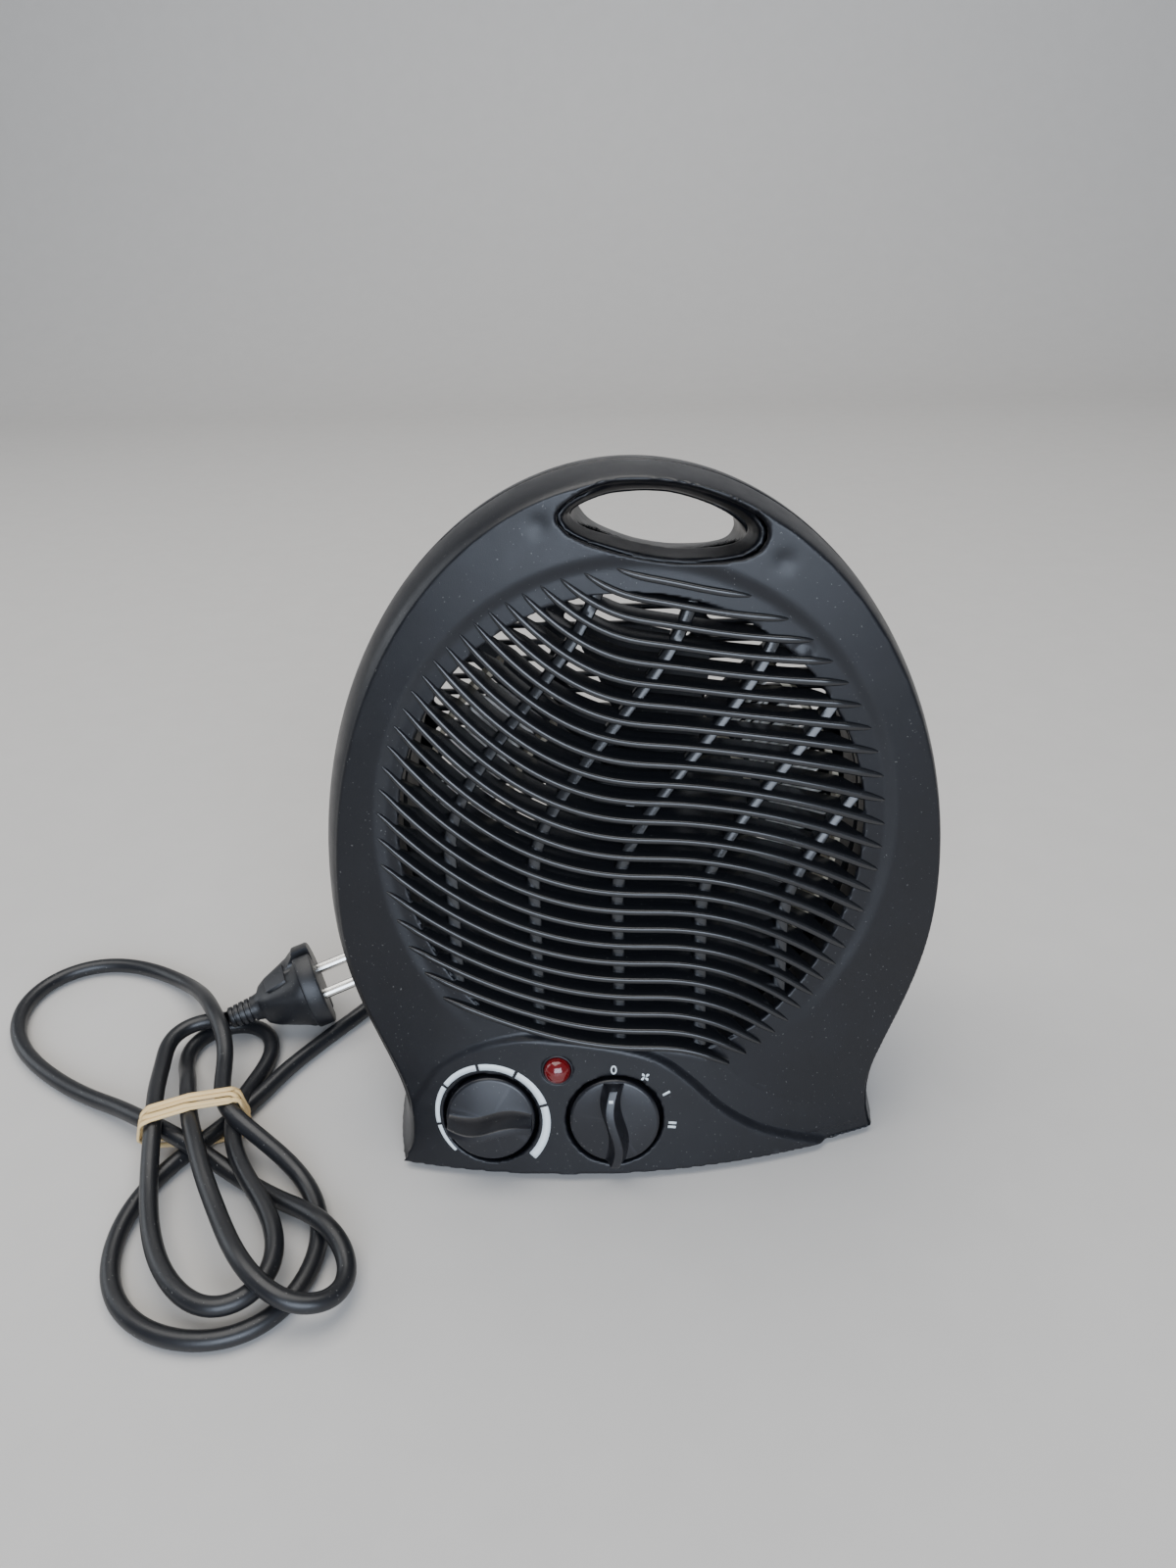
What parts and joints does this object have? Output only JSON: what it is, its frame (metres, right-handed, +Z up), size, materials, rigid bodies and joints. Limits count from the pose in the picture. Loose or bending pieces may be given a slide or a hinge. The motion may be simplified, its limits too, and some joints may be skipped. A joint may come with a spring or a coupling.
{
  "type": "upright fan heater",
  "caption": "Upright fan heater with an arched black case, wave-slat grille, two dials, pilot lamp, handle slot and mains lead.",
  "frame": {"origin": "on the floor under the middle of the heater's body", "axes": "+Z up, -Y out of the front grille, +X to the right as seen from the front"},
  "size_m": [0.4016, 0.2627, 0.253],
  "materials": {
    "case_black": "satin black moulded plastic with a fine grain",
    "grille_black": "smoother semi-gloss black plastic",
    "knob_black": "semi-gloss black plastic",
    "brass": "turned brass",
    "steel": "zinc-plated steel",
    "nylon": "natural nylon",
    "lamp_red": "clear red plastic",
    "lamp_glass": "clear glass",
    "fan_black": "matt black plastic",
    "laminations": "stacked steel sheet",
    "copper": "enamelled copper wire",
    "mica": "pressed mica board",
    "nichrome": "bright resistance wire",
    "rubber": "black rubber",
    "cord_black": "black vinyl, satin",
    "plug_black": "black moulded vinyl, satin",
    "pin_nickel": "nickel-plated brass",
    "band": "tan rubber band",
    "wire_insulation": "insulated copper wire"
  },
  "bodies": {
    "root": {"front_shell": "case_black", "front_grille": "grille_black", "rear_shell": "case_black", "thermostat_nut": "steel", "thermostat_body": "nylon", "switch_nut": "steel", "switch_body": "nylon", "lamp_lens": "lamp_red", "neon_lamp": "lamp_glass", "motor_stator": "laminations", "motor_winding": "copper", "motor_bracket_front": "steel", "motor_bracket_rear": "steel", "bearing_front": "brass", "bearing_rear": "brass", "duct_ring": "fan_black", "mica_outer_left": "mica", "mica_outer_right": "mica", "mica_inner_left": "mica", "mica_inner_right": "mica", "heating_wire_left": "nichrome", "heating_wire_right": "nichrome", "thermal_cutout": "steel", "thermal_fuse": "nylon", "rubber_foot_1": "rubber", "rubber_foot_2": "rubber", "rubber_foot_3": "rubber", "rubber_foot_4": "rubber", "case_screw_1": "steel", "case_screw_2": "steel", "case_screw_3": "steel", "case_screw_4": "steel", "case_screw_5": "steel", "case_screw_6": "steel", "cord_bushing": "rubber", "mains_cord": "cord_black", "cord_loop": "cord_black", "cord_fold": "cord_black", "cord_tail": "cord_black", "cord_bundle": "cord_black", "cord_tie": "band", "plug_body": "plug_black", "plug_pin_1": "pin_nickel", "plug_pin_2": "pin_nickel", "terminal_block": "nylon", "cord_clamp": "nylon", "wire_live": "wire_insulation", "wire_neutral": "wire_insulation"},
    "thermostat_dial": {"thermostat_knob": "knob_black", "thermostat_shaft": "brass"},
    "switch_dial": {"switch_knob": "knob_black", "switch_shaft": "brass"},
    "fan_rotor": {"fan_impeller": "fan_black", "motor_shaft": "steel", "motor_rotor": "laminations"}
  },
  "joints": [
    {"name": "thermostat_turn", "type": "hinge", "parent": "root", "child": "thermostat_dial", "pos_m": [-0.054, -0.05358, 0.025], "axis": [0, 0.9613, -0.2756], "range_deg": [-45, 225]},
    {"name": "switch_turn", "type": "hinge", "parent": "root", "child": "switch_dial", "pos_m": [-0.0074, -0.05468, 0.025], "axis": [0, 0.9613, -0.2756], "range_deg": [0, 96]},
    {"name": "fan_spin", "type": "hinge", "parent": "root", "child": "fan_rotor", "pos_m": [0, 0.012, 0.126], "axis": [0, -0.9962, 0.0872], "continuous": true}
  ]
}
